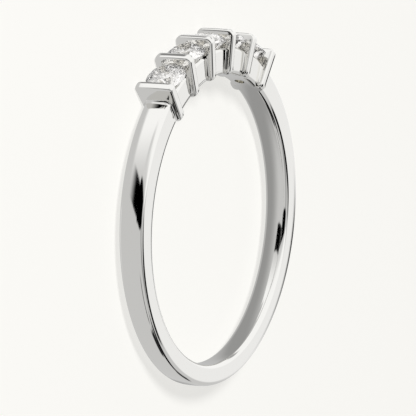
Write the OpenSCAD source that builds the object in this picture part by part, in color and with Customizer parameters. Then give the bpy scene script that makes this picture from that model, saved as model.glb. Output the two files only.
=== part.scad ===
// Five-stone diamond band, in millimetres.
// The origin is the centre of the finger hole, halfway through its width.
// +Z runs along the finger and +Y points from the hole's centre to the middle stone.

/* [Finger hole] */
// Radius of the finger hole
finger_r = 8.67; // [8.4:0.01:9.5]
// Rounding of the shank's inner edges
inner_edge_r = 0.35; // [0.25:0.01:0.4]

/* [Shank] */
// Mean wall thickness of the shank
shank_t = 1.507; // [1.4:0.001:1.6]
// Extra thickness at the head, taken off at the back of the ring
shank_t_grow = 0.202; // [0.1:0.001:0.25]
// Mean width of the shank along the finger
shank_w = 1.551; // [1.45:0.001:1.7]
// Extra width at the head, taken off at the back of the ring
shank_w_grow = 0.121; // [0.02:0.001:0.15]
// Rounding of the shank's outer edges
outer_edge_r = 0.28; // [0.15:0.01:0.35]

/* [Bars] */
// Thickness of a bar
bar_t = 0.64; // [0.55:0.01:0.7]
// Width of a bar's top along the finger
bar_w = 2.48; // [2.4:0.01:2.7]
// Width of a bar's foot, at the finger hole's surface
bar_foot_w = 2.18; // [2.12:0.01:2.35]
// Height of the bars' tops above the finger hole's surface
bar_h = 2.69; // [2.55:0.01:2.8]
// Rounding of a bar's top corners, seen along the band
bar_corner_r = 0.36; // [0.25:0.01:0.45]
// Rounding of the two end bars' top corners
end_corner_r = 0.2; // [0.12:0.01:0.35]
// Rounding of a bar's corners at the finger hole
bar_foot_r = 0.4; // [0.3:0.01:0.45]
// Rounding of a bar's long edges
bar_edge_r = 0.07; // [0.05:0.01:0.12]
// Cove between each end bar and the shank's outer face
cove_r = 0.42; // [0.3:0.01:0.45]
// Cove between each end bar and the shank's sides
side_cove_r = 0.2; // [0.12:0.01:0.22]

/* [Stones] */
// Girdle diameter of a stone
stone_d = 2.4; // [2.2:0.01:2.5]
// Angle between two neighbouring stones, seen along the finger
pitch_deg = 14.4; // [14:0.1:15.2]
// Height of the girdles above the finger hole's surface
girdle_h = 2.05; // [1.95:0.01:2.1]
// Thickness of the girdle
girdle_t = 0.05; // [0.03:0.01:0.08]
// Table diameter as a share of the girdle diameter
table_share = 0.57; // [0.53:0.01:0.6]
// Slope of the crown's main facets
crown_deg = 34.5; // [32:0.5:36]
// Slope of the pavilion's main facets
pavilion_deg = 40.8; // [40:0.1:41.5]
// Share of the way from table to girdle that the star facets reach
star_share = 0.5; // [0.4:0.01:0.6]
// Share of the way from girdle to culet that the lower girdle facets reach
lower_share = 0.77; // [0.7:0.01:0.85]
// Radius of the light hole under each stone
light_hole_r = 0.3; // [0.2:0.01:0.4]
// Clearance between a stone and its seat
seat_gap = 0.05; // [0.04:0.01:0.08]

/* [Hidden] */
$fn = 96;
stones = 5;
// A bar stands at each side of every stone
bars = stones + 1;
// Reach of a cutting tool past what it cuts
past = 2;
// The bars' undersides start this far inside the finger hole, and the hole trims them
bar_root = 0.07;
bar_low = finger_r - bar_root;
bar_top = finger_r + bar_h;
// A bar's sides lean out from foot to top
bar_lean = atan((bar_w - bar_foot_w) / 2 / bar_h);
bar_low_w = bar_foot_w - 2 * bar_root * tan(bar_lean);
girdle_z = finger_r + girdle_h;
stone_r = stone_d / 2;
table_r = stone_r * table_share;
// Main facets on the crown and as many on the pavilion, each with a star facet beside it
mains = 8;
sector = 360 / mains;
half = sector / 2;
// Flat pieces of the girdle for each main facet
rim_splits = 4;
rim = mains * rim_splits;
// Width grows along +Y in proportion to the distance from the origin
outer_r = finger_r + shank_t;
mid_r = finger_r + shank_t / 2;
side_tilt = atan(shank_w_grow / 2 / mid_r);

// The middle of the row is at zero degrees, which is +Y
function stone_deg(i) = (i - (stones - 1) / 2) * pitch_deg;
function bar_deg(i) = (i - (bars - 1) / 2) * pitch_deg;

// Puts a child, drawn with its height along +Z and its width along +Y, on the band.
// Its height then points away from the finger and its width runs along the finger.
module on_band(deg) {
    rotate([0, 0, -deg]) rotate([-90, 0, 0]) children();
}

// A rectangle with round corners, made of squares and circles
module round_rect(w, h, r) {
    translate([-w / 2 + r, 0]) square([w - 2 * r, h]);
    translate([-w / 2, r]) square([w, h - 2 * r]);
    for (x = [-w / 2 + r, w / 2 - r], y = [r, h - r])
        translate([x, y]) circle(r = r);
}

// Half of the shank's section, from its middle plane to one rounded outer edge
module outer_half_section() {
    half_w = shank_w / 2;
    square([outer_r - outer_edge_r, half_w]);
    translate([0, -past]) square([outer_r, half_w - outer_edge_r + past]);
    translate([outer_r - outer_edge_r, half_w - outer_edge_r]) circle(r = outer_edge_r);
}

// One side of the shank, tilted so that the ring widens towards the head
module shank_side() {
    size = 2 * (outer_r + past);
    intersection() {
        rotate([side_tilt, 0, 0]) translate([0, shank_t_grow, 0])
            rotate_extrude() outer_half_section();
        translate([-size / 2, -size / 2, 0]) cube([size, size, past]);
    }
}

// Rounds the inner edge of one side. The arc crosses the hole's wall at a slight angle
// and runs out just past the side of the shank where the shank is widest.
module inner_rounding() {
    cross_deg = 15;
    run_out = 0.02;
    arc_r = finger_r + inner_edge_r * cos(cross_deg);
    arc_z = (shank_w + shank_w_grow) / 2 + run_out - inner_edge_r;
    rotate_extrude() difference() {
        translate([finger_r - past, arc_z]) square([arc_r - finger_r + past, past]);
        translate([arc_r, arc_z]) circle(r = inner_edge_r);
    }
}

// What fills the corner between two walls with a cove. The corner is at the origin,
// the walls are the two axes, and the cove sinks into each wall by depth.
module cove_outline(r, depth) {
    difference() {
        translate([-depth, -depth]) square([r + depth, r + depth]);
        translate([r, r]) circle(r = r);
    }
}

// Cove between the outward face of the last bar and one side of the shank.
// It ends where the shank's edges round off.
module side_cove() {
    low = finger_r + inner_edge_r;
    high = outer_r + shank_t_grow * cos(bar_deg(bars - 1)) - outer_edge_r;
    rotate([side_tilt, 0, 0]) on_band(bar_deg(bars - 1))
        translate([bar_t / 2, -shank_w / 2, low]) mirror([0, 1, 0])
            linear_extrude(high - low) cove_outline(side_cove_r, bar_edge_r);
}

// One side of the shank with the coves of both end bars
module coved_side() {
    shank_side();
    side_cove();
    mirror([1, 0, 0]) side_cove();
}

module shank() {
    difference() {
        union() {
            coved_side();
            mirror([0, 0, 1]) coved_side();
        }
        inner_rounding();
        mirror([0, 0, 1]) inner_rounding();
    }
}

// Half width of a bar at height y above its foot, less the reach of a corner circle
// of radius r that touches the leaning side
function corner_x(y, r) = bar_low_w / 2 + y * tan(bar_lean) - r / cos(bar_lean);

// A bar seen along the band: wider at the top, with four round corners
module bar_outline(top_r) {
    h = bar_top - bar_low;
    low_x = corner_x(bar_foot_r, bar_foot_r);
    top_x = corner_x(h - top_r, top_r);
    c = cos(bar_lean);
    s = sin(bar_lean);
    // one side from the foot to the top, through the points where the circles touch it
    right = [
        [low_x, 0],
        [low_x + bar_foot_r * c, bar_foot_r - bar_foot_r * s],
        [top_x + top_r * c, h - top_r - top_r * s],
        [top_x, h]
    ];
    left = [for (i = [3 : -1 : 0]) [-right[i][0], right[i][1]]];
    polygon(concat(right, left));
    for (side = [-1, 1]) {
        translate([side * low_x, bar_foot_r]) circle(r = bar_foot_r);
        translate([side * top_x, h - top_r]) circle(r = top_r);
    }
}

// Keeps what lies inside one leaning side of a bar and rounds the two edges there
module side_limit() {
    deep = bar_w + past;
    translate([0, bar_low_w / 2, bar_low]) rotate([-bar_lean, 0, 0])
        translate([0, -deep, -past])
            linear_extrude(bar_h + 3 * past) round_rect(bar_t, deep, bar_edge_r);
}

// A bar is the part that four extruded outlines share, so all its edges are rounded
module bar(top_r) {
    h = bar_top - bar_low;
    intersection() {
        // seen along the band
        translate([0, 0, bar_low]) rotate([90, 0, 90])
            linear_extrude(bar_t, center = true) bar_outline(top_r);
        // seen along the finger
        translate([0, 0, bar_low - past]) rotate([90, 0, 0])
            linear_extrude(bar_w + past, center = true) round_rect(bar_t, h + past, bar_edge_r);
        // seen along each leaning side
        side_limit();
        mirror([0, 1, 0]) side_limit();
    }
}

// Cove between the outward face of the last bar and the shank's outer face
module cove() {
    side = bar_t / 2;
    reach_deg = asin((side + cove_r) / outer_r);
    base = (outer_r + shank_t_grow * cos(bar_deg(bars - 1) + reach_deg)) * cos(reach_deg);
    flat_w = shank_w - 2 * outer_edge_r;
    sunk = outer_edge_r;
    translate([side, 0, base]) rotate([90, 0, 0])
        linear_extrude(flat_w, center = true) cove_outline(cove_r, sunk);
}

// The hole that a stone sits in: pavilion, girdle and crown, with the light hole below
module seat() {
    r = stone_r + seat_gap;
    slope = tan(pavilion_deg);
    girdle_low = girdle_z - girdle_t / 2 - seat_gap;
    girdle_high = girdle_z + girdle_t / 2 + seat_gap;
    hole_top = girdle_low - (r - light_hole_r) * slope;
    rotate_extrude() polygon([
        [0, finger_r - past],
        [light_hole_r, finger_r - past],
        [light_hole_r, hole_top],
        [r, girdle_low],
        [r, girdle_high],
        [table_r, girdle_high + (r - table_r) * tan(crown_deg)],
        [table_r, bar_top + past],
        [0, bar_top + past]
    ]);
}

// Shank, bars and seats are one piece of metal
module band() {
    color("silver") difference() {
        union() {
            shank();
            for (i = [0 : bars - 1]) on_band(bar_deg(i))
                bar(i == 0 || i == bars - 1 ? end_corner_r : bar_corner_r);
            on_band(bar_deg(bars - 1)) cove();
            mirror([1, 0, 0]) on_band(bar_deg(bars - 1)) cove();
        }
        cylinder(r = finger_r, h = 2 * bar_w, center = true);
        for (i = [0 : stones - 1]) on_band(stone_deg(i)) seat();
    }
}

// Height of the crown's and the pavilion's main facets, at radius r and turned
// deg away from the middle of the facet
function crown_z(r, deg) = girdle_t / 2 + (stone_r - r * cos(deg)) * tan(crown_deg);
function pavilion_z(r, deg) = -girdle_t / 2 - (stone_r - r * cos(deg)) * tan(pavilion_deg);

function ring_point(r, deg, z) = [r * cos(deg), r * sin(deg), z];

// Where the star facets meet the main facets of the crown
star_corner_r = table_r * cos(half) + (stone_r - table_r * cos(half)) * star_share;
// Where the lower girdle facets meet the main facets of the pavilion
lower_corner_r = stone_r * (1 - lower_share);

// A girdle point between two main points dips so that its facet stays flat.
// a and b are the main points, c the facet's third corner, all seen at one height.
function flat_z(p, a, b, c) = let (n = cross(b - a, c - a))
    a[2] - (n[0] * (p[0] - a[0]) + n[1] * (p[1] - a[1])) / n[2];

function crown_rim(k) = let (
    a = ring_point(stone_r, 0, girdle_t / 2),
    b = ring_point(stone_r, half, girdle_t / 2),
    c = ring_point(star_corner_r, half, crown_z(star_corner_r, half)),
    p = ring_point(stone_r, half / 2, 0)
) k % 2 == 0 ? girdle_t / 2 : flat_z(p, a, b, c);

function pavilion_rim(k) = let (
    a = ring_point(stone_r, 0, -girdle_t / 2),
    b = ring_point(stone_r, half, -girdle_t / 2),
    c = ring_point(lower_corner_r, half, pavilion_z(lower_corner_r, half)),
    p = ring_point(stone_r, half / 2, 0)
) k % 2 == 0 ? -girdle_t / 2 : flat_z(p, a, b, c);

// A round brilliant with its girdle at the origin and its table facing +Z.
// Its points stand in rings: table, star corners, upper girdle, lower girdle,
// lower girdle facets' corners, culet.
module brilliant() {
    star_at = mains;
    upper_at = star_at + mains;
    lower_at = upper_at + rim;
    main_at = lower_at + rim;
    culet_at = main_at + mains;
    last = mains - 1;
    step = 360 / rim;
    points = [
        for (i = [0 : last]) ring_point(table_r, i * sector, crown_z(table_r, 0)),
        for (i = [0 : last]) ring_point(star_corner_r, i * sector + half, crown_z(star_corner_r, half)),
        for (k = [0 : rim - 1]) ring_point(stone_r, k * step, crown_rim(k)),
        for (k = [0 : rim - 1]) ring_point(stone_r, k * step, pavilion_rim(k)),
        for (i = [0 : last]) ring_point(lower_corner_r, i * sector + half, pavilion_z(lower_corner_r, half)),
        [0, 0, pavilion_z(0, 0)]
    ];
    faces = [
        [for (i = [last : -1 : 0]) i],
        for (i = [0 : last]) let (
            next = (i + 1) % mains,
            before = (i + last) % mains,
            star = star_at + i,
            main = main_at + i,
            upper = [for (k = [0 : rim_splits]) upper_at + (rim_splits * i + k) % rim],
            lower = [for (k = [0 : rim_splits]) lower_at + (rim_splits * i + k) % rim]
        ) each [
            // star facet
            [i, next, star],
            // main facet of the crown
            [i, star, upper[0]],
            [i, upper[0], star_at + before],
            // upper girdle facets
            for (k = [0 : rim_splits - 1]) [star, upper[k + 1], upper[k]],
            // girdle
            for (k = [0 : rim_splits - 1]) each [
                [upper[k], upper[k + 1], lower[k + 1]],
                [upper[k], lower[k + 1], lower[k]]
            ],
            // lower girdle facets
            for (k = [0 : rim_splits - 1]) [main, lower[k], lower[k + 1]],
            // main facet of the pavilion
            [lower[0], main, culet_at],
            [lower[0], culet_at, main_at + before]
        ]
    ];
    polyhedron(points = points, faces = faces);
}

module stone(i) {
    color("aliceblue") on_band(stone_deg(i)) translate([0, 0, girdle_z]) brilliant();
}

band();
stone(0);  // stone_1
stone(1);  // stone_2
stone(2);  // stone_3
stone(3);  // stone_4
stone(4);  // stone_5
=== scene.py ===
"""Dresses the five-stone diamond band: polished band, brilliants, pale studio."""
import math
from types import SimpleNamespace
from typing import NamedTuple

import bmesh
import bpy
from mathutils import Matrix, Vector


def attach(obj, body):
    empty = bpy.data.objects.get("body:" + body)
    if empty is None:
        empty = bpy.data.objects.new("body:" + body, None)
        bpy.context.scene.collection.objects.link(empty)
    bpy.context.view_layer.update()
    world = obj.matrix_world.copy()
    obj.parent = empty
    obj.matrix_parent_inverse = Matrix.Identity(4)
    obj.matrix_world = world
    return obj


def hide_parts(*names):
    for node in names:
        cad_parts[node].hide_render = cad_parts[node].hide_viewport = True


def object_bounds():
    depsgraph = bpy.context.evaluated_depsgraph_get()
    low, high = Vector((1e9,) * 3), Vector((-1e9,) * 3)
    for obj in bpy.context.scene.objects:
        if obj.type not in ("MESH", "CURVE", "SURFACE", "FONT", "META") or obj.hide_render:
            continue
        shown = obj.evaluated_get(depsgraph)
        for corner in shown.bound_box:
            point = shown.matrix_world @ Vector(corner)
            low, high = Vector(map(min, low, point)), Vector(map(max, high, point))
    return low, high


bl_info = {
    "name": "Five-stone diamond band",
    "version": (1, 0, 0),
    "blender": (4, 5, 0),
    "location": "3D View > Sidebar > Ring",
    "description": "Models the polished band, finishes the stones and lights them",
    "category": "Add Mesh",
}

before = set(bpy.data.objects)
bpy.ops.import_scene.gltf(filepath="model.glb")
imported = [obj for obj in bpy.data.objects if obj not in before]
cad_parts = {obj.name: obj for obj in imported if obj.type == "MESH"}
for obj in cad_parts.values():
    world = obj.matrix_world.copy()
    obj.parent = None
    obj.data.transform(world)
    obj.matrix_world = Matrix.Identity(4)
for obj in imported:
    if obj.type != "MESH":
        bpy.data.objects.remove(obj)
CAD_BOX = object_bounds()
STONES = ("stone_1", "stone_2", "stone_3", "stone_4", "stone_5")
BARS = len(STONES) + 1
# +Y goes through the middle of the row, this many pitches from the first bar or stone
BAR_MIDDLE = (BARS - 1) / 2
STONE_MIDDLE = (len(STONES) - 1) / 2
TAU = 2 * math.pi

# The band is shaped in millimetres and shrunk at the end. These lengths are in millimetres.
MM = 1000.0
BAR_ROOT = 0.07  # the bars start this far inside the finger hole, which trims them
WALL_SPARE = 0.012  # so does the shank
CUT_PAST = 1.5  # a seat's cutter ends this far past the metal
COVE_HIDDEN = 0.02  # a cove starts this far inside its bar
JOINT_HIDDEN = 0.01  # and the fine steps for a joint this far
SIDE_SPARE = 1e-3  # what lies this close to the shank's side belongs to it
SAME = 1e-4  # points this close are one point

# Steps along a rounded edge of the shank's section, and cuts across its two long walls
SECTION_STEPS, OUTER_CUTS, INNER_CUTS = 7, 9, 5
# Steps along a cove, along a joint, between two joints, and round the rest of the shank
COVE_STEPS, JOINT_STEPS, BAY_STEPS, SHANK_STEPS = 30, 8, 8, 200
# Steps round a bar's corner, and parts of its side, top and foot
CORNER_STEPS, SIDE_PARTS, TOP_PARTS, FOOT_PARTS = 9, 10, 12, 8
# Steps from a bar's middle to its long edge, and over that edge
CROWN_STEPS, EDGE_STEPS = 3, 4
# Rings across a bar's face, as shares of its outline, and the share where the pillow begins
FACE_RINGS = (0.97, 0.94, 0.9, 0.86, 0.81, 0.76, 0.7, 0.64, 0.58, 0.52, 0.45, 0.3, 0.15, 0.05)
PILLOW_FROM = 0.45
SEAT_SIDES, BORE_SIDES = 72, 240
# The finger hole's cutter has this many rings to each side of the middle, up to this distance
BORE_RINGS, BORE_REACH = 13, 1.3
SMOOTH_BELOW = math.radians(28)  # edges flatter than this are shaded smooth


def length(name, description, default):
    return bpy.props.FloatProperty(
        name=name, description=description, default=default, min=0.0,
        precision=6, subtype="DISTANCE", unit="LENGTH")


def angle(name, description, degrees):
    return bpy.props.FloatProperty(
        name=name, description=description, default=math.radians(degrees),
        subtype="ANGLE", unit="ROTATION")


def share(name, description, default):
    return bpy.props.FloatProperty(
        name=name, description=description, default=default, min=0.0, soft_max=1.0,
        subtype="FACTOR")


def colour(name, description, default):
    return bpy.props.FloatVectorProperty(
        name=name, description=description, default=default, size=3,
        min=0.0, max=1.0, subtype="COLOR")


class BandSizes(bpy.types.PropertyGroup):
    """Sizes of the metal and of the stones that it holds"""
    finger_r: length("Finger hole", "Radius of the finger hole", 0.00867)
    inner_edge_r: length("Inner edges", "Rounding of the shank's inner edges", 0.00035)
    shank_r: length("Shank radius", "Radius of the shank's outer circle", 0.010176)
    shank_rise: length(
        "Shank rise", "How far the outer circle is moved towards the stones", 0.000202)
    shank_w: length("Shank width", "Mean width of the shank along the finger", 0.001551)
    shank_tilt: angle(
        "Side tilt", "Tilt of the shank's sides, which widens it towards the stones", 0.368)
    outer_edge_r: length("Outer edges", "Rounding of the shank's outer edges", 0.00028)
    dome: length("Dome", "How far the outer face falls from its middle to its edges", 0.00005)
    bore_crown: length("Bore crown", "How far the finger hole widens to its edges", 0.00001)
    face_pillow: length("Face pillow", "How far a bar's faces fall to their edges", 0.00003)
    top_pillow: length("Top pillow", "How far a bar's top falls to its long edges", 0.000016)
    top_fall: length("Top fall", "How far a bar's top falls to its two ends", 0.00003)
    cove_r: length("Cove", "Radius of the cove between an end bar and the outer face", 0.00036)
    side_cove_r: length(
        "Side cove", "Radius of the cove between an end bar and the sides", 0.00024)
    joint_r: length(
        "Bar joint", "Radius of the polished joint between a bar and the sides", 0.00012)
    bar_t: length("Bar thickness", "Thickness of a bar", 0.00064)
    bar_w: length("Bar width", "Width of a bar's top along the finger", 0.0024798)
    bar_foot_w: length(
        "Foot width", "Width of a bar at the finger hole's surface", 0.0021798)
    bar_top: length("Bar top", "Distance of the bars' tops from the finger's axis", 0.01136)
    bar_corner_r: length("Bar corners", "Rounding of a bar's top corners", 0.00036)
    end_corner_r: length("End bar corners", "Rounding of the end bars' top corners", 0.0002)
    bar_foot_r: length(
        "Foot corners", "Rounding of a bar's corners at the finger hole", 0.0004)
    bar_edge_r: length("Bar edges", "Rounding of a bar's long edges", 0.00013)
    pitch: angle("Pitch", "Angle between two neighbouring stones", 14.4)
    stone_r: length("Stone radius", "Radius of a stone at its girdle", 0.0012)
    girdle_t: length("Girdle thickness", "Thickness of a stone's girdle", 0.00005)
    girdle_z: length(
        "Girdle height", "Distance of the girdles from the finger's axis", 0.01072)
    table_share: share("Table", "Width of a stone's table as a share of its girdle's", 0.57)
    crown: angle("Crown slope", "Slope of a stone's upper side", 34.5)
    pavilion: angle("Pavilion slope", "Slope of a stone's lower side", 40.8)
    light_hole_r: length("Light hole", "Radius of the light hole under each stone", 0.0003)
    seat_gap: length("Seat gap", "Clearance between a stone and its seat", 0.00005)


class RingFinishes(bpy.types.PropertyGroup):
    """Colours and finishes of metal and stones"""
    metal: colour("Metal", "Colour of the rhodium-plated white gold", (0.86, 0.853, 0.828))
    metal_rough: share("Metal roughness", "Mean roughness of the polished metal", 0.05)
    polish: share("Polishing lines", "Strength of the faint polishing lines", 0.03)
    diamond: colour("Diamond", "Body colour of the stones", (1.0, 0.985, 0.96))
    facet_rough: share("Facet roughness", "Roughness of the stones' facets", 0.03)
    girdle_rough: share(
        "Girdle roughness", "How much rougher the ground girdle is than the facets", 0.3)


class StudioLook(bpy.types.PropertyGroup):
    """Floor, lamp and air"""
    floor: colour("Floor", "Colour of the pale floor", (0.956, 0.947, 0.913))
    floor_glow: share("Floor glow", "Light that the backlit floor gives by itself", 0.75)
    key_power: bpy.props.FloatProperty(
        name="Key light", description="Power of the soft light from above", default=4.3,
        min=0.0, subtype="POWER", unit="POWER")
    air_glow: share("Air glow", "Even light from all round", 0.1)


def in_millimetres(sizes):
    """The sizes as plain numbers: lengths in millimetres, angles in radians."""
    plain = {}
    for name in sizes.__annotations__:
        unit = sizes.bl_rna.properties[name].unit
        plain[name] = getattr(sizes, name) * (MM if unit == "LENGTH" else 1)
    return SimpleNamespace(**plain)


# Modelling helpers


def look_away():
    """Leaves edit mode and deselects everything."""
    if bpy.context.object and bpy.context.object.mode != "OBJECT":
        bpy.ops.object.mode_set(mode="OBJECT")
    bpy.ops.object.select_all(action="DESELECT")


def choose(obj):
    """Selects just obj and makes it active."""
    look_away()
    obj.select_set(True)
    bpy.context.view_layer.objects.active = obj


def edit(obj):
    """Opens obj in edit mode with nothing selected and returns its mesh."""
    choose(obj)
    bpy.ops.object.mode_set(mode="EDIT")
    bpy.ops.mesh.select_mode(type="VERT")
    bpy.ops.mesh.select_all(action="DESELECT")
    return bmesh.from_edit_mesh(obj.data)


def pick(obj, kind, test):
    """Selects just the verts or edges of obj that pass the test."""
    mesh = bmesh.from_edit_mesh(obj.data)
    bpy.ops.mesh.select_all(action="DESELECT")
    bpy.ops.mesh.select_mode(type={"verts": "VERT", "edges": "EDGE"}[kind])
    found = [item for item in getattr(mesh, kind) if test(item)]
    if not found:
        raise RuntimeError(f"{obj.name}: nothing was found to select")
    for item in found:
        item.select_set(True)
    mesh.select_flush_mode()
    bmesh.update_edit_mesh(obj.data)


def reshape(obj, place):
    """Moves each point of obj, in edit mode, to where place says."""
    mesh = bmesh.from_edit_mesh(obj.data)
    for vert in mesh.verts:
        vert.co = place(vert.co)
    bmesh.update_edit_mesh(obj.data)


def middle_x(edge):
    return (edge.verts[0].co.x + edge.verts[1].co.x) / 2


def named(name):
    obj = bpy.context.object
    obj.name = name
    obj.data.name = name
    return obj


def apply_modifier(obj, kind, **settings):
    """Adds a modifier, sets it and applies it."""
    choose(obj)
    bpy.ops.object.modifier_add(type=kind)
    modifier = obj.modifiers[-1]
    for key, value in settings.items():
        setattr(modifier, key, value)
    bpy.ops.object.modifier_apply(modifier=modifier.name)


def turned_copy(obj, name, turn):
    """A copy of obj with its own mesh, turned about the finger's axis towards +X."""
    choose(obj)
    bpy.ops.object.duplicate(linked=False)
    copy = named(name)
    copy.rotation_euler = (0, 0, -turn)
    bpy.ops.object.transform_apply(location=False, rotation=True, scale=False)
    return copy


def join(objects, name):
    look_away()
    for obj in objects:
        obj.select_set(True)
    bpy.context.view_layer.objects.active = objects[0]
    bpy.ops.object.join()
    return named(name)


def face_outwards():
    """Turns all faces of the mesh in edit mode outwards."""
    bpy.ops.mesh.select_all(action="SELECT")
    bpy.ops.mesh.normals_make_consistent(inside=False)


def lathe(name, rings, vertices):
    """A closed turned solid about Z, from (radius, height) rings, lowest first."""
    look_away()
    bpy.ops.mesh.primitive_circle_add(
        vertices=vertices, radius=rings[0][0], fill_type="NGON", enter_editmode=True,
        location=(0, 0, rings[0][1]))
    bpy.ops.object.mode_set(mode="OBJECT")
    bpy.ops.object.transform_apply(location=True, rotation=True, scale=True)
    obj = named(name)
    edit(obj)
    pick(obj, "edges", lambda e: True)
    for (r0, z0), (r1, z1) in zip(rings, rings[1:]):
        bpy.ops.mesh.extrude_edges_move()
        if r1 != r0:
            bpy.ops.transform.resize(value=(r1 / r0, r1 / r0, 1), center_override=(0, 0, z0))
        if z1 != z0:
            bpy.ops.transform.translate(value=(0, 0, z1 - z0))
    bpy.ops.mesh.edge_face_add()
    face_outwards()
    look_away()
    return obj


def loft(name, rings):
    """A closed skin through rings of equally many points, from the first to the last."""
    look_away()
    bpy.ops.mesh.primitive_circle_add(vertices=len(rings[0]), radius=1, fill_type="NGON")
    obj = named(name)
    mesh = edit(obj)
    mesh.verts.ensure_lookup_table()
    for vert, point in zip(mesh.verts, rings[0]):
        vert.co = point
    bmesh.update_edit_mesh(obj.data)
    pick(obj, "edges", lambda e: True)
    for ring, following in zip(rings, rings[1:]):
        bpy.ops.mesh.extrude_edges_move()
        mesh = bmesh.from_edit_mesh(obj.data)
        # a new point lies on the old one until it is moved to its place in the next ring
        for vert in mesh.verts:
            if vert.select:
                pairs = zip(ring, following)
                vert.co = min(pairs, key=lambda pair: math.dist(pair[0], vert.co))[1]
        bmesh.update_edit_mesh(obj.data)
    bpy.ops.mesh.edge_face_add()
    face_outwards()
    look_away()
    return obj


def between(a, b, parts):
    """The points inside the line from a to b when it is split into equal parts."""
    return [tuple(p + (q - p) * i / parts for p, q in zip(a, b)) for i in range(1, parts)]


# Shank


def cove_lift(s, r, z, away):
    """How far a point of the shank's section moves out and sideways for the end bars' coves.

    away is its distance from the end bar's outward face. The cove has one radius on the outer
    face and another on the sides, and runs out over the rounded inner edges.
    """
    half_w = s.shank_w / 2
    if away < -COVE_HIDDEN:
        return 0.0, 0.0
    if r > s.shank_r - s.outer_edge_r:
        over = max(0.0, abs(z) - (half_w - s.outer_edge_r))
        reach = r - (s.shank_r - s.outer_edge_r)
        way_r, way_z = reach / math.hypot(reach, over), over / math.hypot(reach, over)
    elif abs(z) > half_w - s.inner_edge_r:
        under = max(0.0, s.finger_r - WALL_SPARE + s.inner_edge_r - r) / s.inner_edge_r
        way_r, way_z = 0.0, max(0.0, 1 - under * under)
    else:
        return 0.0, 0.0
    cove = s.cove_r * way_r ** 2 + s.side_cove_r * way_z ** 2
    rest = cove - max(0.0, away)
    if rest <= 0:
        return 0.0, 0.0
    grow = cove - math.sqrt(cove * cove - rest * rest)
    return grow * way_r, math.copysign(grow * way_z, z)


def joint_lift(s, r, phi):
    """How far the shank's side comes out beside an inner bar, for the polished joint."""
    turn = (phi / s.pitch + 0.5) % 1.0
    from_bar = min(turn, 1.0 - turn) * s.pitch
    rest = s.joint_r - max(0.0, r * math.sin(from_bar) - s.bar_t / 2)
    return s.joint_r - math.sqrt(s.joint_r ** 2 - rest ** 2) if rest > 0 else 0.0


def shank_point(s, point):
    """Where a point of the plain turned shank goes, with coves, joints, rise and side tilt."""
    x, y, z = point
    r = math.hypot(x, y)
    phi = math.atan2(x, y)
    end = BAR_MIDDLE * s.pitch
    lift_r = lift_z = 0.0
    if abs(phi) < math.pi / 2:
        away = r * math.sin(abs(phi) - end) - s.bar_t / 2
        lift_r, lift_z = cove_lift(s, r, z, away)
    if abs(phi) < end and abs(z) > s.shank_w / 2 - SIDE_SPARE:
        lift_z = math.copysign(joint_lift(s, r, phi), z)
    r += lift_r
    z += lift_z
    x, y = r * math.sin(phi), r * math.cos(phi)
    if r > (s.finger_r - WALL_SPARE + s.shank_r) / 2:
        y += s.shank_rise
    swing = s.shank_tilt if z > 0 else -s.shank_tilt if z < 0 else 0.0
    return (x, y * math.cos(swing) - z * math.sin(swing),
            y * math.sin(swing) + z * math.cos(swing))


def shank_section(s):
    """The outline of the shank's section at the right end bar, open in edit mode."""
    in_r, out_r = s.finger_r - WALL_SPARE, s.shank_r
    mid_r = (in_r + out_r) / 2
    look_away()
    bpy.ops.mesh.primitive_plane_add(size=1)
    obj = named("shank_blank")
    edit(obj)
    bpy.ops.mesh.select_all(action="SELECT")
    bpy.ops.transform.resize(value=(out_r - in_r, s.shank_w, 1), center_override=(0, 0, 0))
    bpy.ops.transform.translate(value=(mid_r, 0, 0))
    pick(obj, "verts", lambda v: v.co.x < mid_r)
    bpy.ops.mesh.bevel(offset=s.inner_edge_r, segments=SECTION_STEPS, affect="VERTICES")
    pick(obj, "verts", lambda v: v.co.x > out_r - SAME)
    bpy.ops.mesh.bevel(offset=s.outer_edge_r, segments=SECTION_STEPS, affect="VERTICES")
    for wall, cuts in ((out_r, OUTER_CUTS), (in_r, INNER_CUTS)):
        pick(obj, "edges", lambda e: abs(middle_x(e) - wall) < SAME)
        bpy.ops.mesh.subdivide(number_cuts=cuts)

    turn = Matrix.Rotation(math.pi / 2 - BAR_MIDDLE * s.pitch, 4, "Z")

    def stand_up(point):
        """Domes the outer face, and turns the section upright and to the end bar."""
        x, y, _ = point
        if x > mid_r:
            x -= s.dome * (y / (s.shank_w / 2)) ** 2
        return turn @ Vector((x, 0.0, y))

    reshape(obj, stand_up)
    bpy.ops.mesh.select_all(action="SELECT")
    bpy.ops.mesh.delete(type="ONLY_FACE")
    return obj


def spin_arcs(s):
    """The (angle, steps) stretches round the ring, over the row of stones first."""
    half_t = s.bar_t / 2
    cove = max(s.cove_r, s.side_cove_r)
    # a cove's steps are even along its curve, so the first ones lie close together
    cove_at = [0.0]
    for i in range(COVE_STEPS + 1):
        reach = cove * (1 - math.cos(i * math.pi / (2 * COVE_STEPS)))
        cove_at.append(math.asin((half_t + reach) / s.shank_r))
    coves = [(b - a, 1) for a, b in zip(cove_at, cove_at[1:])]
    beside = math.asin((half_t - JOINT_HIDDEN) / s.finger_r)
    joint = (s.joint_r + 2 * JOINT_HIDDEN) / s.finger_r
    bay = [(beside, 1), (joint, JOINT_STEPS), (s.pitch - 2 * (beside + joint), BAY_STEPS),
           (joint, JOINT_STEPS), (beside, 1)]
    back = TAU - len(STONES) * s.pitch - 2 * cove_at[-1]
    return len(STONES) * bay + coves + [(back, SHANK_STEPS)] + coves[::-1]


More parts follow.
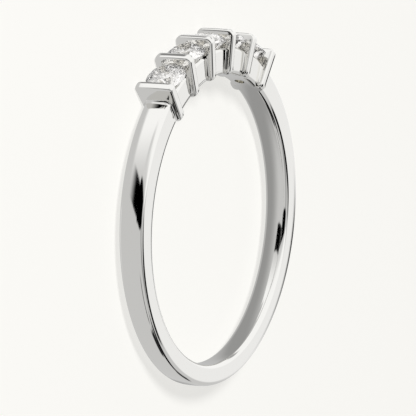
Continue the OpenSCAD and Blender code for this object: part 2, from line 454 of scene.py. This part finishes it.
def shank_blank(s):
    """The shank all round, with its inner wall a hair inside the finger hole."""
    obj = shank_section(s)
    bpy.ops.mesh.select_all(action="SELECT")
    for arc, steps in spin_arcs(s):
        bpy.ops.mesh.spin(
            steps=steps, angle=arc, center=(0, 0, 0), axis=(0, 0, -1), dupli=False)
    bpy.ops.mesh.select_all(action="SELECT")
    bpy.ops.mesh.remove_doubles(threshold=SAME)
    face_outwards()
    reshape(obj, lambda point: shank_point(s, point))
    look_away()
    return obj


# Bars, seats and finger hole


def bar_outline(s, top_r, inset):
    """Points (y, z) round a bar seen along the band, all moved inwards by inset."""
    low, top = s.finger_r - BAR_ROOT, s.bar_top
    slope = (s.bar_w - s.bar_foot_w) / 2 / (top - s.finger_r)
    lean = math.atan(slope)
    foot_y, top_y = low + s.bar_foot_r, top - top_r
    foot_z = s.bar_foot_w / 2 - slope * (s.finger_r - foot_y) - s.bar_foot_r / math.cos(lean)
    top_z = s.bar_w / 2 - slope * top_r - top_r / math.cos(lean)
    right = []
    for y, z, r, start, end in ((foot_y, foot_z, s.bar_foot_r - inset, -math.pi / 2, -lean),
                                (top_y, top_z, top_r - inset, -lean, math.pi / 2)):
        for i in range(CORNER_STEPS + 1):
            a = start + (end - start) * i / CORNER_STEPS
            right.append((y + r * math.sin(a), z + r * math.cos(a)))
    # more points along the straight parts, so that the pillowed faces come out even
    side = between(right[CORNER_STEPS], right[CORNER_STEPS + 1], SIDE_PARTS)
    right = right[:CORNER_STEPS + 1] + side + right[CORNER_STEPS + 1:]
    left = [(y, -z) for y, z in reversed(right)]
    points = (right + between(right[-1], left[0], TOP_PARTS)
              + left + between(left[-1], right[0], FOOT_PARTS))
    end_z = s.bar_w / 2
    return [(y - s.top_fall * (z / end_z) ** 2 * max(0.0, (y - low) / (top - low)) ** 2, z)
            for y, z in points]


def bar_blank(s, name, top_r):
    """One bar at the middle of the row, on +Y, with its foot inside the finger hole."""
    half_t, edge, crown = s.bar_t / 2, s.bar_edge_r, s.top_pillow
    flat = half_t - s.face_pillow - edge
    layers = []  # (x, inset, share of the outline), for the +X half from the middle outwards
    for i in range(CROWN_STEPS + 1):
        x = flat * i / CROWN_STEPS
        layers.append((x, crown * (x / flat) ** 2, 1.0))
    for i in range(1, EDGE_STEPS + 1):
        a = math.pi / 2 * i / EDGE_STEPS
        layers.append((flat + edge * math.sin(a), crown + edge * (1 - math.cos(a)), 1.0))
    for part in FACE_RINGS:
        fall = s.face_pillow * max(0.0, (part - PILLOW_FROM) / (1 - PILLOW_FROM)) ** 2
        layers.append((half_t - fall, crown + edge, part))
    centre = (s.finger_r + s.bar_top) / 2
    rings = []
    for x, inset, part in [(-x, i, p) for x, i, p in reversed(layers[1:])] + layers:
        rings.append([(x, centre + (y - centre) * part, z * part)
                      for y, z in bar_outline(s, top_r, inset)])
    return loft(name, rings)


def seat_blank(s):
    """Cutter for one seat: light hole, pavilion, girdle and crown, along +Y."""
    r = s.stone_r + s.seat_gap
    table_r = s.table_share * s.stone_r
    low = s.girdle_z - s.girdle_t / 2 - s.seat_gap
    high = s.girdle_z + s.girdle_t / 2 + s.seat_gap
    obj = lathe("seat_blank", [
        (s.light_hole_r, s.finger_r - CUT_PAST),
        (s.light_hole_r, low - (r - s.light_hole_r) * math.tan(s.pavilion)),
        (r, low),
        (r, high),
        (table_r, high + (r - table_r) * math.tan(s.crown)),
        (table_r, s.bar_top + CUT_PAST),
    ], SEAT_SIDES)
    obj.rotation_euler = (-math.pi / 2, 0, 0)
    obj.select_set(True)
    bpy.ops.object.transform_apply(location=False, rotation=True, scale=False)
    return obj


def bore_blank(s):
    """Cutter for the finger hole, which widens a hair towards its rounded edges."""
    crown_at = s.shank_w / 2 - s.inner_edge_r
    steps = range(-BORE_RINGS, BORE_RINGS + 1)
    levels = [-s.bar_w, *[BORE_REACH * i / BORE_RINGS for i in steps], s.bar_w]
    return lathe("bore_blank", [
        (s.finger_r + s.bore_crown * min(1.0, abs(z) / crown_at) ** 2, z) for z in levels
    ], BORE_SIDES)


def make_band(s):
    """Shank and bars made one, bored for the finger and cut for the stones, in metres."""
    band = shank_blank(s)
    bar = bar_blank(s, "bar_blank", s.bar_corner_r)
    end_bar = bar_blank(s, "end_bar_blank", s.end_corner_r)
    bars = join([turned_copy(end_bar if i in (0, BARS - 1) else bar, f"bar_{i}",
                             (i - BAR_MIDDLE) * s.pitch) for i in range(BARS)], "bars")
    seat = seat_blank(s)
    seats = join([turned_copy(seat, f"seat_{i}", (i - STONE_MIDDLE) * s.pitch)
                  for i in range(len(STONES))], "seats")
    bore = bore_blank(s)
    for operation, tool in (("UNION", bars), ("DIFFERENCE", bore), ("DIFFERENCE", seats)):
        apply_modifier(band, "BOOLEAN", operation=operation, solver="EXACT", object=tool)
    for tool in (bar, end_bar, bars, seat, seats, bore):
        bpy.data.objects.remove(tool)
    edit(band)
    bpy.ops.mesh.select_all(action="SELECT")
    bpy.ops.mesh.remove_doubles(threshold=2 * SAME)
    bpy.ops.mesh.dissolve_degenerate(threshold=SAME)
    bpy.ops.mesh.normals_make_consistent(inside=False)
    bpy.ops.transform.resize(value=(1 / MM,) * 3, center_override=(0, 0, 0))
    choose(band)
    bpy.ops.object.shade_smooth_by_angle(angle=SMOOTH_BELOW)
    apply_modifier(band, "WEIGHTED_NORMAL", keep_sharp=True, mode="FACE_AREA", weight=50)
    return named("polished_band")


# Shader maths


class Value:
    """A node's output that adds Math nodes when it is used in an expression."""

    def __init__(self, net, socket):
        self.net, self.socket = net, socket

    def maths(self, operation, *values):
        return self.net.node("ShaderNodeMath", {"operation": operation}, *values)

    def __add__(self, other):
        return self.maths("ADD", self, other)

    def __radd__(self, other):
        return self.maths("ADD", other, self)

    def __sub__(self, other):
        return self.maths("SUBTRACT", self, other)

    def __rsub__(self, other):
        return self.maths("SUBTRACT", other, self)

    def __mul__(self, other):
        return self.maths("MULTIPLY", self, other)

    def __rmul__(self, other):
        return self.maths("MULTIPLY", other, self)

    def __truediv__(self, other):
        return self.maths("DIVIDE", self, other)

    def __rtruediv__(self, other):
        return self.maths("DIVIDE", other, self)

    def __pow__(self, other):
        return self.maths("POWER", self, other)


class Net:
    """A material's node tree. node() adds a node, sets it and feeds its sockets."""

    def __init__(self, name):
        self.material = bpy.data.materials.new(name)
        self.material.use_nodes = True
        self.tree = self.material.node_tree
        self.tree.nodes.clear()

    def node(self, kind, settings=None, *values, out=0, **named_values):
        made = self.tree.nodes.new(kind)
        for key, value in (settings or {}).items():
            setattr(made, key, value)
        for place, value in [*enumerate(values), *named_values.items()]:
            if isinstance(place, str):
                place = place.replace("_", " ")
            socket = made.inputs[place]
            if isinstance(value, Value):
                self.tree.links.new(value.socket, socket)
            else:
                socket.default_value = value
        return Value(self, made.outputs[out]) if made.outputs else made

    def here(self):
        """The place on the object."""
        return self.node("ShaderNodeTexCoord", out="Object")

    def split(self, place):
        """The three parts of a place."""
        parts = self.node("ShaderNodeSeparateXYZ", None, place).socket.node.outputs
        return [Value(self, part) for part in parts]

    def ramp(self, value, low, high):
        """0 at low and before it, 1 at high and past it, with a smooth step between."""
        return self.node("ShaderNodeMapRange", {"interpolation_type": "SMOOTHSTEP"},
                         value, low, high, 0.0, 1.0)

    def glow(self, level):
        """A grey glow of this level."""
        grey = self.node("ShaderNodeCombineXYZ", None, level, level, level)
        return self.finish(self.node("ShaderNodeEmission", None, Color=grey, Strength=1.0))

    def finish(self, shader):
        self.node("ShaderNodeOutputMaterial", None, shader)
        return self.material


# Finishes

# Scale of the polishing lines round the ring, and across them for each metre
LINES_ROUND, LINES_ACROSS = 6.0, 22000.0
LINES_DEPTH = 0.00001
# The roughness varies in soft clouds, from this share of its mean and over this range
CLOUD_SCALE, CLOUD_LOW, CLOUD_RANGE = 900.0, 0.8, 0.4
NOISE_DETAIL = 2.0
# The ground girdle begins and is full at these shares of the stone's radius
GIRDLE_FROM, GIRDLE_FULL = 0.985, 0.992
DIAMOND_IOR = 2.417


def polished_metal(f):
    net = Net("polished_white_gold")
    place = net.here()
    x, y, z = net.split(place)
    round_way = x.maths("ARCTAN2", x, y)
    reach = (x * x + y * y) ** 0.5
    # long thin lines run round the ring, as the buff leaves them
    spot = net.node("ShaderNodeCombineXYZ", None, round_way * LINES_ROUND,
                    reach * LINES_ACROSS, z * LINES_ACROSS)
    noise = {"noise_dimensions": "3D"}
    lines = net.node("ShaderNodeTexNoise", noise, Vector=spot, Scale=1.0,
                     Detail=NOISE_DETAIL)
    cloud = net.node("ShaderNodeTexNoise", noise, Vector=place, Scale=CLOUD_SCALE,
                     Detail=NOISE_DETAIL)
    bump = net.node("ShaderNodeBump", None, Strength=f.polish, Distance=LINES_DEPTH,
                    Height=lines)
    shader = net.node("ShaderNodeBsdfPrincipled", None, Base_Color=(*f.metal, 1.0),
                      Metallic=1.0, Normal=bump,
                      Roughness=f.metal_rough * (CLOUD_LOW + CLOUD_RANGE * cloud))
    return net.finish(shader)


def diamond(f, name, stone_r, turn):
    """Clear stone with a ground girdle. turn is the stone's place round the ring."""
    net = Net(name)
    upright = net.node("ShaderNodeMapping", {"vector_type": "POINT"}, net.here(),
                       Rotation=(0.0, 0.0, turn))
    x, _, z = net.split(upright)
    wide = (x * x + z * z) ** 0.5
    girdle = net.ramp(wide, stone_r * GIRDLE_FROM, stone_r * GIRDLE_FULL)
    shader = net.node("ShaderNodeBsdfPrincipled", None, Base_Color=(*f.diamond, 1.0),
                      Roughness=f.facet_rough + girdle * f.girdle_rough, IOR=DIAMOND_IOR,
                      Transmission_Weight=1.0)
    return net.finish(shader)


# Studio

LEAN_FROM = -20.0  # rise, in degrees, from which a patch of the tent leans


class Patch(NamedTuple):
    """A soft-edged patch of the light tent. All but its shade is in degrees."""
    turn: tuple  # from where to where, from +Y towards +X
    rise: tuple  # from where to where, towards +Z
    soft: tuple  # width of the soft edge at the low turn, high turn, low rise and high rise
    shade: float  # how bright it is
    lean: float = 0.0  # how far it moves to lower turns for each degree above LEAN_FROM


# The metal mirrors the first tent, and light comes through the stones from the second. Each
# has one level all over and patches, of which a later one lies over an earlier one. They are
# placed so that bright and dark fall on the ring as in the photograph.
METAL_LEVEL = 0.63
METAL_PATCHES = {
    "white": Patch((-66, 102), (-33, 91), (50, 8, 3, 1), 1.06),
    "front": Patch((82, 125), (-8, 60), (14, 14, 10, 20), 0.95),
    "edge_shade": Patch((-64, -15), (-15, 35), (4, 20, 4, 20), 0.72),
    "back": Patch((54, 78), (-50, -8), (8, 10, 10, 10), 0.5),
    "lens": Patch((18, 55), (-34, -21), (4, 4, 4, 4), 0.27),
    "streak": Patch((42, 58), (-5, 28), (6, 6, 8, 8), 0.4),
    "low_streak": Patch((100, 132), (-46, -22), (10, 10, 8, 8), 0.35),
    "outline": Patch((101, 112), (-56, 23), (3, 8, 14, 4), 0.0),
    "low": Patch((-190, -60), (-91, -60), (30, 30, 1, 15), 0.8),
    "arc": Patch((-192, -88), (52, 74), (10, 8, 6, 8), 0.3),
    "bar_stripe": Patch((-156, -116), (3, 17), (6, 8, 4, 4), 0.08),
    "arch": Patch((-256, -190), (42, 78), (6, 8, 5, 10), 0.0),
    "arch_low": Patch((-236, -205), (4, 46), (6, 5, 5, 6), 0.0, -0.85),
    "arch_end": Patch((-218, -198), (0, 20), (4, 4, 3, 4), 0.05),
    "arch_foot": Patch((-184, -156), (-15, 27), (5, 6, 8, 6), 0.02),
    "wedge": Patch((-83, -58), (-31, -17), (2.5, 3, 7, 1.5), 0.0, 1.4),
    "panel": Patch((-86, -54), (-19.5, 76), (3, 4, 1.5, 10), 0.0, 0.12),
}
STONE_LEVEL = 1.08
STONE_PATCHES = {
    "taupe": Patch((-95, -25), (-15, 60), (20, 20, 20, 20), 0.5),
    "front": Patch((175, 225), (10, 50), (8, 8, 8, 8), 0.2),
    "bright": Patch((40, 110), (20, 75), (20, 20, 20, 10), 1.6),
}

# Lengths and places in the studio, in metres
TENT_R = 0.5
TENT_SEGMENTS, TENT_RINGS = 48, 24
FLOOR_SIZE, FLOOR_ROUGH = 4, 0.9
KEY_PLACE, KEY_SIZE = (-0.303, 0.323, 0.404), 0.16
CARD_R, CARD_HOLE_R, CARD_HOLE_PLACE = 0.0098, 0.0055, (-0.0002, -0.002)
CARD_LIFT = 0.00004  # height of the card above the floor
CARD_SIDES = 96
# Painted reflection for the finger hole's wall: the card's grey glow,
# how much it darkens and lightens again away from its middle, and where
CARD_LEVEL, CARD_DROP, CARD_GAIN = 0.63, 0.29, 0.2
CARD_DROP_AT, CARD_GAIN_AT = (0.0052, 0.0072), (0.0078, 0.0085)

# The photograph's viewing angle in degrees, found from the finger hole's edges and the bars'
# corners, and where the camera stands along and across it, in metres
VIEW_TURN, VIEW_RISE, VIEW_ROLL = 62.399, 11.517, -1.476
VIEW_AWAY, VIEW_RIGHT, VIEW_UP = 0.25025, -0.0001465, 0.0006374
FOCAL_PX, PICTURE_PX, SENSOR_MM = 4202.0, 416, 36
SEEN_FROM, SEEN_TO = 0.01, 10  # nearest and farthest distance that the camera sees

GLOSSY_BOUNCES = 12  # light turns round many times inside a cut stone


def tent_cloth(name, base, patches):
    """Glow of the light tent: one level all over, with soft brighter and darker patches."""
    net = Net(name)
    x, y, z = net.split(net.here())
    degrees = 180 / math.pi
    turn = x.maths("ARCTAN2", x, y) * degrees
    rise = z.maths("ARCSINE", z / TENT_R) * degrees
    level = base
    for patch in patches.values():
        (left, right), (low, high), soft = patch.turn, patch.rise, patch.soft
        half = (right - left) / 2
        across = turn + patch.lean * (rise - LEAN_FROM) - (left + right) / 2
        across = x.maths("WRAP", across, -180.0, 180.0)
        weight = (net.ramp(across, -half, -half + soft[0])
                  * net.ramp(across, half, half - soft[1])
                  * net.ramp(rise, low, low + soft[2])
                  * net.ramp(rise, high, high - soft[3]))
        level = level + weight * (patch.shade - level)
    return net.glow(level)


def stage_glow(obj, in_metal, in_stones):
    """Makes obj part of the studio, seen only in the metal, or only through the stones."""
    obj.visible_camera = False
    obj.visible_diffuse = False
    obj.visible_shadow = False
    obj.visible_volume_scatter = False
    obj.visible_glossy = in_metal
    obj.visible_transmission = in_stones


def make_tent(name, base, patches, for_stones):
    """A glowing sphere round the ring."""
    look_away()
    bpy.ops.mesh.primitive_uv_sphere_add(segments=TENT_SEGMENTS, ring_count=TENT_RINGS,
                                         radius=TENT_R)
    tent = named(name)
    tent.data.materials.append(tent_cloth(name + "_cloth", base, patches))
    stage_glow(tent, not for_stones, for_stones)


def bore_reflection_glow():
    """Painted reflection: a grey glow, seen only in the finger hole's wall, that is darkest in
    a ring under that wall.
    """
    net = Net("grey_card")
    x, y, _ = net.split(net.here())
    reach = (x * x + y * y) ** 0.5
    drop = CARD_DROP * net.ramp(reach, *CARD_DROP_AT)
    gain = CARD_GAIN * net.ramp(reach, *CARD_GAIN_AT)
    return net.glow(CARD_LEVEL - drop + gain)


def make_ring_card():
    """A flat ring of glowing grey card beneath the finger hole, seen only in its polished wall:
    a painted reflection.
    """
    height = CAD_BOX[0].z + CARD_LIFT
    edges = []
    for radius, place in ((CARD_R, (0, 0)), (CARD_HOLE_R, CARD_HOLE_PLACE)):
        look_away()
        bpy.ops.mesh.primitive_circle_add(
            vertices=CARD_SIDES, radius=radius, location=(*place, height))
        edges.insert(0, bpy.context.object)
    card = join(edges, "grey_card")
    bpy.ops.object.transform_apply(location=True, rotation=False, scale=False)
    edit(card)
    bpy.ops.mesh.select_all(action="SELECT")
    bpy.ops.mesh.bridge_edge_loops()
    look_away()
    # the card's glow paints a reflection that only the finger hole's wall shows
    card.data.materials.append(bore_reflection_glow())
    stage_glow(card, True, False)


def make_floor(look):
    """A pale floor, lit partly from below, that metal and stones don't mirror."""
    look_away()
    bpy.ops.mesh.primitive_plane_add(size=FLOOR_SIZE, location=(0, 0, CAD_BOX[0].z))
    floor = named("studio_floor")
    net = Net("pale_floor")
    tint = tuple((1 - look.floor_glow) * c for c in look.floor)
    shader = net.node("ShaderNodeBsdfPrincipled", None, Base_Color=(*tint, 1.0),
                      Roughness=FLOOR_ROUGH, Emission_Color=(*look.floor, 1.0),
                      Emission_Strength=look.floor_glow)
    floor.data.materials.append(net.finish(shader))
    floor.visible_glossy = False
    floor.visible_transmission = False


def make_key_light(power):
    """A round soft lamp above the ring, that metal and stones don't mirror."""
    look_away()
    bpy.ops.object.light_add(type="AREA", location=KEY_PLACE)
    lamp = named("key_light")
    lamp.data.shape = "DISK"
    lamp.data.size = KEY_SIZE
    lamp.data.energy = power
    lamp.rotation_euler = (-Vector(KEY_PLACE)).to_track_quat("-Z", "Y").to_euler()
    lamp.visible_glossy = False
    lamp.visible_transmission = False


def make_air(glow):
    """Even light from all round."""
    world = bpy.data.worlds.new("studio_air")
    world.use_nodes = True
    air = world.node_tree.nodes["Background"].inputs
    air["Color"].default_value = (1.0, 1.0, 1.0, 1.0)
    air["Strength"].default_value = glow
    bpy.context.scene.world = world


def make_camera():
    t, e, r = map(math.radians, (VIEW_TURN, VIEW_RISE, VIEW_ROLL))
    back = Vector((-math.sin(t) * math.cos(e), math.sin(e), math.cos(t) * math.cos(e)))
    right = Vector((math.cos(t), 0, math.sin(t)))
    up = back.cross(right)
    eye = back * VIEW_AWAY + right * VIEW_RIGHT + up * VIEW_UP
    right, up = (right * math.cos(r) + up * math.sin(r), up * math.cos(r) - right * math.sin(r))
    look_away()
    bpy.ops.object.camera_add(location=eye)
    camera = named("camera")
    camera.rotation_euler = Matrix((right, up, back)).transposed().to_euler()
    camera.data.sensor_width = SENSOR_MM
    camera.data.lens = FOCAL_PX * SENSOR_MM / PICTURE_PX
    camera.data.clip_start, camera.data.clip_end = SEEN_FROM, SEEN_TO
    bpy.context.scene.camera = camera


# Operators and panel


class RING_OT_band(bpy.types.Operator):
    """Model the polished band in place of the plain one"""
    bl_idname = "ring.add_band"
    bl_label = "Polished band"

    def execute(self, context):
        scene = context.scene
        band = make_band(in_millimetres(scene.ring_band))
        band.data.materials.clear()
        band.data.materials.append(polished_metal(scene.ring_finish))
        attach(band, "root")
        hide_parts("band")
        return {"FINISHED"}


class RING_OT_stones(bpy.types.Operator):
    """Give each stone its diamond finish"""
    bl_idname = "ring.finish_stones"
    bl_label = "Stones"

    def execute(self, context):
        scene = context.scene
        sizes = scene.ring_band
        for i, node in enumerate(STONES):
            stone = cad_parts[node]
            turn = (i - STONE_MIDDLE) * sizes.pitch
            material = diamond(scene.ring_finish, f"diamond_{i + 1}", sizes.stone_r, turn)
            stone.data.materials.clear()
            stone.data.materials.append(material)
        return {"FINISHED"}


class RING_OT_stage(bpy.types.Operator):
    """Set up the floor, the light tents, the lamp and the camera"""
    bl_idname = "ring.set_stage"
    bl_label = "Studio"

    def execute(self, context):
        scene = context.scene
        look = scene.ring_studio
        make_floor(look)
        make_tent("metal_tent", METAL_LEVEL, METAL_PATCHES, for_stones=False)
        make_tent("stone_tent", STONE_LEVEL, STONE_PATCHES, for_stones=True)
        make_ring_card()
        make_key_light(look.key_power)
        make_camera()
        make_air(look.air_glow)
        scene.view_settings.view_transform = "Standard"
        scene.cycles.glossy_bounces = GLOSSY_BOUNCES
        return {"FINISHED"}


class RING_PT_panel(bpy.types.Panel):
    """Sizes, finishes and operators of the ring"""
    bl_idname = "RING_PT_panel"
    bl_label = "Five-stone band"
    bl_space_type = "VIEW_3D"
    bl_region_type = "UI"
    bl_category = "Ring"

    def draw(self, context):
        scene = context.scene
        for operator in (RING_OT_band, RING_OT_stones, RING_OT_stage):
            self.layout.operator(operator.bl_idname)
        for group in (scene.ring_band, scene.ring_finish, scene.ring_studio):
            box = self.layout.box()
            for name in group.__annotations__:
                box.prop(group, name)


CLASSES = (BandSizes, RingFinishes, StudioLook, RING_OT_band, RING_OT_stones, RING_OT_stage,
           RING_PT_panel)
GROUPS = {"ring_band": BandSizes, "ring_finish": RingFinishes, "ring_studio": StudioLook}


def register():
    for cls in CLASSES:
        bpy.utils.register_class(cls)
    for name, group in GROUPS.items():
        setattr(bpy.types.Scene, name, bpy.props.PointerProperty(type=group))


def unregister():
    for name in GROUPS:
        delattr(bpy.types.Scene, name)
    for cls in reversed(CLASSES):
        bpy.utils.unregister_class(cls)


def main():
    register()
    bpy.ops.ring.add_band()
    bpy.ops.ring.finish_stones()
    bpy.ops.ring.set_stage()
    bpy.context.view_layer.update()


if __name__ == "__main__":
    main()
